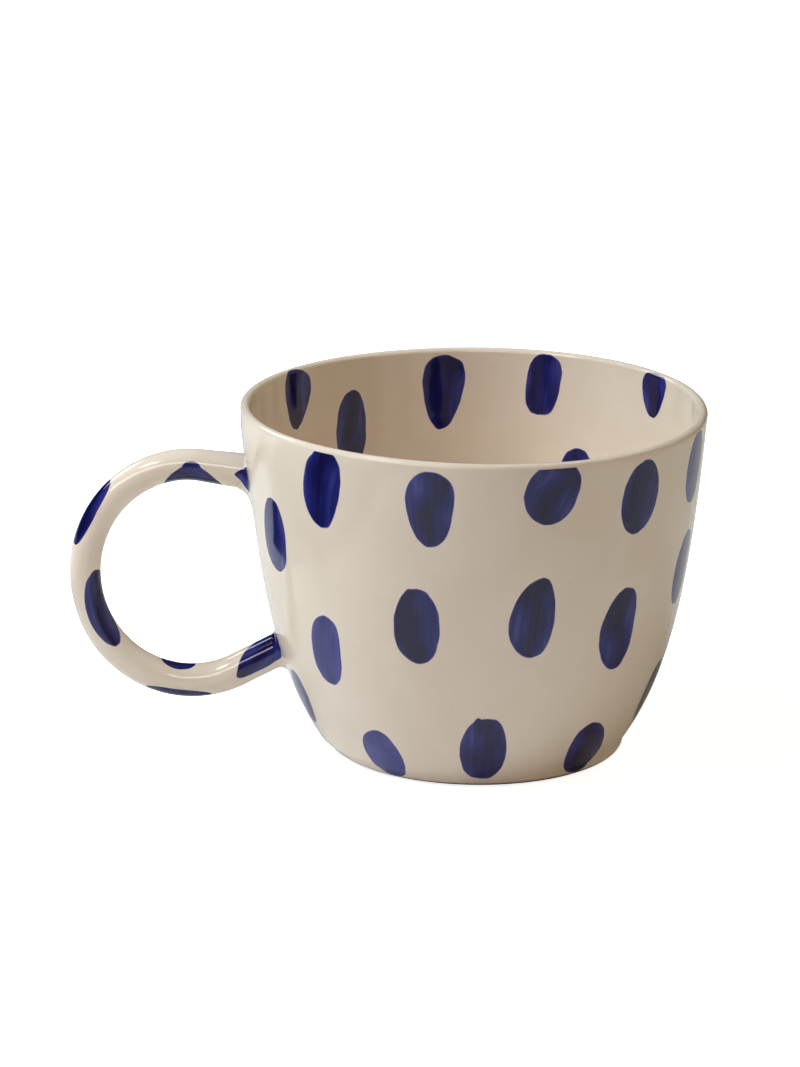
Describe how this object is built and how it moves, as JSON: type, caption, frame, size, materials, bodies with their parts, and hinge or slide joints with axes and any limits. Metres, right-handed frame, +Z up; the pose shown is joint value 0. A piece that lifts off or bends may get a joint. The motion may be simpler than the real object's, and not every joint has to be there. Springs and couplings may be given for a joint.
{
  "type": "handled stoneware mug",
  "caption": "Wide wheel-thrown stoneware mug with a ring-shaped coil handle, clear glaze and brushed cobalt spots; for hot drinks.",
  "frame": {"origin": "on the cup's axis, on the plane the mug stands on; the base panel's centre is 0.8 mm above it", "axes": "+Z up along the cup's axis; the handle points along -X; +Y is the side away from a viewer who has the handle on the left"},
  "size_m": [0.1578, 0.1148, 0.088],
  "materials": {
    "glazed_stoneware": "cream clay under a clear gloss glaze, with brushed cobalt blue spots"
  },
  "bodies": {
    "root": {"cup_body": "glazed_stoneware", "handle_coil": "glazed_stoneware", "upper_slip_joint": "glazed_stoneware", "lower_slip_joint": "glazed_stoneware"}
  },
  "joints": []
}
